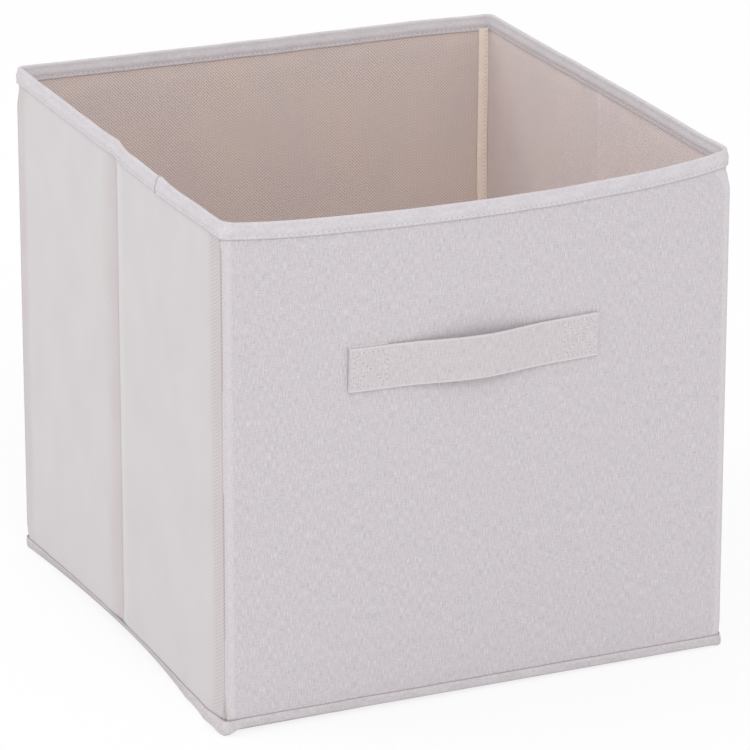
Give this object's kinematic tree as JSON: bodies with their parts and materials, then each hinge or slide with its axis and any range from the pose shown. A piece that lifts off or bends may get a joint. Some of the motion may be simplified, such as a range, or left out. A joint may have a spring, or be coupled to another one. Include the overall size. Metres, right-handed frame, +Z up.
{
  "type": "foldable fabric storage box",
  "caption": "Open-topped fabric storage box with cardboard-stiffened walls, a strap handle, a loose base board and creased sides that fold in flat.",
  "frame": {"origin": "centre of the underside, on the surface that the box stands on", "axes": "+Z up, -Y towards the front wall with the handle, +X towards the right wall seen from the front"},
  "size_m": [0.3118, 0.3329, 0.3],
  "materials": {
    "linen_cloth": "pale grey heathered linen-look cloth, matt",
    "side_cloth": "pale grey smooth non-woven cloth, matt",
    "lining_cloth": "warm beige non-woven cloth with a fine diagonal emboss",
    "binding_tape": "pale grey non-woven tape, stitched along one edge",
    "seam_tape": "beige folded non-woven tape",
    "strap_cloth": "pale grey linen-look strap, matt",
    "thread": "pale polyester sewing thread",
    "cardboard": "brown cardboard"
  },
  "bodies": {
    "front_panel": {"front_outer_cloth": "linen_cloth", "front_board": "cardboard", "front_lining": "lining_cloth", "front_rim_binding": "binding_tape", "corner_tape_front_left": "seam_tape", "corner_tape_front_right": "seam_tape", "handle_strap": "strap_cloth", "handle_stitching_left": "thread", "handle_stitching_right": "thread", "bottom_cloth": "side_cloth", "bottom_binding_front": "binding_tape", "bottom_binding_back": "binding_tape", "bottom_binding_left": "binding_tape", "bottom_binding_right": "binding_tape"},
    "back_panel": {"back_outer_cloth": "linen_cloth", "back_board": "cardboard", "back_lining": "lining_cloth", "back_rim_binding": "binding_tape", "corner_tape_back_left": "seam_tape", "corner_tape_back_right": "seam_tape"},
    "base_board": {"base_board_core": "cardboard", "base_board_cover_top": "lining_cloth", "base_board_cover_bottom": "lining_cloth"},
    "left_front_panel": {"left_front_outer_cloth": "side_cloth", "left_front_board": "cardboard", "left_front_lining": "lining_cloth", "left_front_rim_binding": "binding_tape"},
    "left_rear_panel": {"left_rear_outer_cloth": "side_cloth", "left_rear_board": "cardboard", "left_rear_lining": "lining_cloth", "left_rear_rim_binding": "binding_tape"},
    "right_front_panel": {"right_front_outer_cloth": "side_cloth", "right_front_board": "cardboard", "right_front_lining": "lining_cloth", "right_front_rim_binding": "binding_tape"},
    "right_rear_panel": {"right_rear_outer_cloth": "side_cloth", "right_rear_board": "cardboard", "right_rear_lining": "lining_cloth", "right_rear_rim_binding": "binding_tape"}
  },
  "joints": [
    {"name": "fold_left_front_corner", "type": "hinge", "parent": "front_panel", "child": "left_front_panel", "pos_m": [-0.1503, -0.1503, 0], "axis": [0, 0, -1], "range_deg": [0, 90], "deforming": ["bottom_cloth", "bottom_binding_left", "bottom_binding_right", "bottom_binding_back"]},
    {"name": "fold_left_crease", "type": "hinge", "parent": "left_front_panel", "child": "left_rear_panel", "pos_m": [-0.1564, 0, 0], "axis": [0, 0, 1], "range_deg": [0, 180]},
    {"name": "fold_left_back_corner", "type": "hinge", "parent": "left_rear_panel", "child": "back_panel", "pos_m": [-0.1503, 0.1503, 0], "axis": [0, 0, -1], "range_deg": [0, 90]},
    {"name": "fold_right_front_corner", "type": "hinge", "parent": "front_panel", "child": "right_front_panel", "pos_m": [0.1503, -0.1503, 0], "axis": [0, 0, 1], "range_deg": [0, 90]},
    {"name": "fold_right_crease", "type": "hinge", "parent": "right_front_panel", "child": "right_rear_panel", "pos_m": [0.1564, 0, 0], "axis": [0, 0, -1], "range_deg": [0, 180]},
    {"name": "base_board_lift", "type": "slide", "parent": "front_panel", "child": "base_board", "axis": [0, 0, 1], "range_m": [0, 0.33]}
  ],
  "couplings": [
    {"joint": "fold_left_crease", "follows": "fold_left_front_corner", "ratio": 2},
    {"joint": "fold_left_back_corner", "follows": "fold_left_front_corner", "ratio": 1},
    {"joint": "fold_right_front_corner", "follows": "fold_left_front_corner", "ratio": 1},
    {"joint": "fold_right_crease", "follows": "fold_left_front_corner", "ratio": 2}
  ]
}
